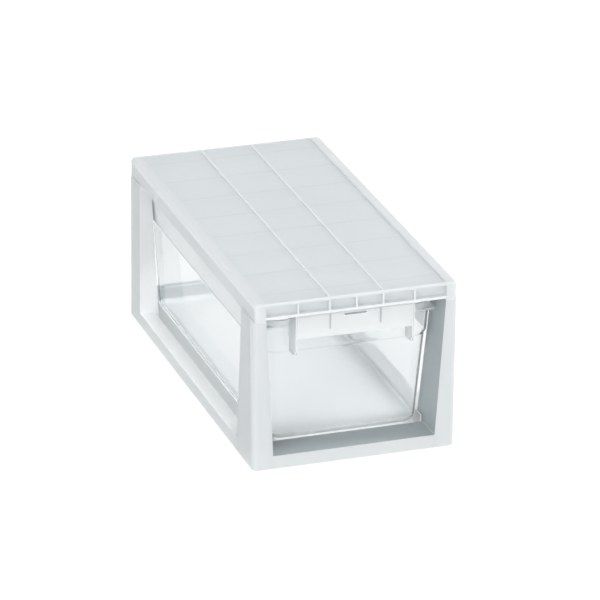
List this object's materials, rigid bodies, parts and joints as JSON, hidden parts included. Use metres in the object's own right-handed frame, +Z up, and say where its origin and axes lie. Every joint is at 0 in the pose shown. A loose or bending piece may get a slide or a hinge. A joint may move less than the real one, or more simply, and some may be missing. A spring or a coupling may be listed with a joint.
{
  "type": "stackable drawer box",
  "caption": "Stackable translucent drawer box: an open framed housing with side windows, and a clear tray with a clip-on pull that slides out at the front.",
  "frame": {"origin": "centre of the footprint, on the surface that the box stands on", "axes": "+X to the right seen from the front, +Y from the front towards the back, +Z up; the drawer opens towards -Y"},
  "size_m": [0.2, 0.394, 0.168],
  "materials": {
    "housing_plastic": "milky translucent polypropylene with a fine satin surface",
    "cover_plastic": "milky translucent polypropylene, satin on the recessed field and smooth on the raised edges",
    "tray_plastic": "crystal clear plastic with polished faces",
    "pull_plastic": "clear plastic with a slightly frosted lip"
  },
  "bodies": {
    "housing": {"front_frame": "housing_plastic", "rear_frame": "housing_plastic", "right_side_frame": "housing_plastic", "left_side_frame": "housing_plastic", "base_frame": "housing_plastic", "top_cover": "cover_plastic"},
    "drawer": {"drawer_tray": "tray_plastic", "drawer_pull": "pull_plastic"}
  },
  "joints": [
    {"name": "drawer_slide", "type": "slide", "parent": "housing", "child": "drawer", "axis": [0, -1, 0], "range_m": [0, 0.312]}
  ]
}
